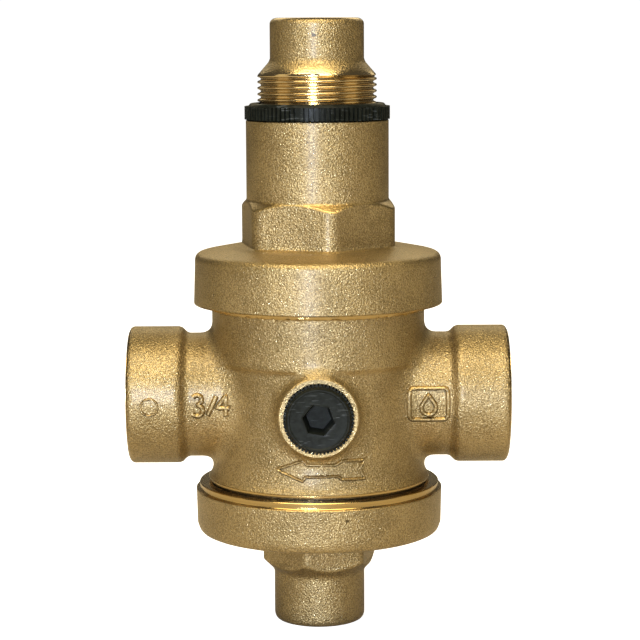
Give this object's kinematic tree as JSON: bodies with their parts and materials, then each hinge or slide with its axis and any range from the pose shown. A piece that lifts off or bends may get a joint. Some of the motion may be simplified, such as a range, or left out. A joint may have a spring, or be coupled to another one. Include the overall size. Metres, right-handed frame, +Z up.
{
  "type": "pressure reducing valve",
  "caption": "Pressure reducing valve with in-line threaded ports, a spring bonnet with adjusting screw and lock ring, a screwed bottom cap, and a diaphragm and balanced poppet inside.",
  "frame": {"origin": "centre of the bottom spigot's end face, on the valve's own axis", "axes": "+Z up along the valve's axis towards the adjusting screw, +X towards the inlet port, -Y towards the front gauge plug"},
  "size_m": [0.095, 0.0634, 0.1523],
  "materials": {
    "cast_brass": "sand-textured casting",
    "turned_brass": "turned, bright",
    "black_plastic": "satin moulded",
    "rubber": "matte",
    "stainless": "turned",
    "spring_steel": "drawn wire",
    "nylon": "satin"
  },
  "bodies": {
    "housing": {"body": "cast_brass", "bottom_cap": "cast_brass", "bottom_cap_o_ring": "rubber", "bonnet": "cast_brass", "gauge_plug_front": "black_plastic", "gauge_plug_front_o_ring": "rubber", "gauge_plug_rear": "black_plastic", "gauge_plug_rear_o_ring": "rubber", "slip_ring": "nylon", "seat_ring": "stainless", "seat_ring_o_ring": "rubber", "diaphragm": "rubber", "adjusting_spring": "spring_steel"},
    "thrust": {"thrust_plate": "stainless"},
    "screw": {"adjusting_screw": "turned_brass"},
    "ring": {"lock_ring": "black_plastic"},
    "stem": {"spindle": "stainless", "spindle_top_nut": "stainless", "spindle_lower_nut": "stainless", "diaphragm_plate": "turned_brass", "diaphragm_washer": "turned_brass", "poppet_holder": "turned_brass", "poppet_gasket": "rubber", "poppet_washer": "stainless", "balancing_piston": "turned_brass", "balancing_piston_o_ring": "rubber"}
  },
  "joints": [
    {"name": "screw_travel", "type": "slide", "parent": "housing", "child": "thrust", "axis": [0, 0, -1], "range_m": [-0.0045, 0.006], "deforming": ["adjusting_spring"]},
    {"name": "screw_turn", "type": "hinge", "parent": "thrust", "child": "screw", "pos_m": [0, 0, 0.131], "axis": [0, 0, -1], "range_deg": [-1080, 1440]},
    {"name": "lock_ring_turn", "type": "hinge", "parent": "housing", "child": "ring", "pos_m": [0, 0, 0.1294], "axis": [0, 0, 1], "range_deg": [0, 90]},
    {"name": "valve_stroke", "type": "slide", "parent": "housing", "child": "stem", "axis": [0, 0, 1], "range_m": [0, 0.0025], "stiffness_N_per_m": 2000, "springref_m": -0.005, "deforming": ["diaphragm"]}
  ],
  "couplings": [
    {"joint": "screw_turn", "follows": "screw_travel", "rad_per_m": 4188.8}
  ]
}
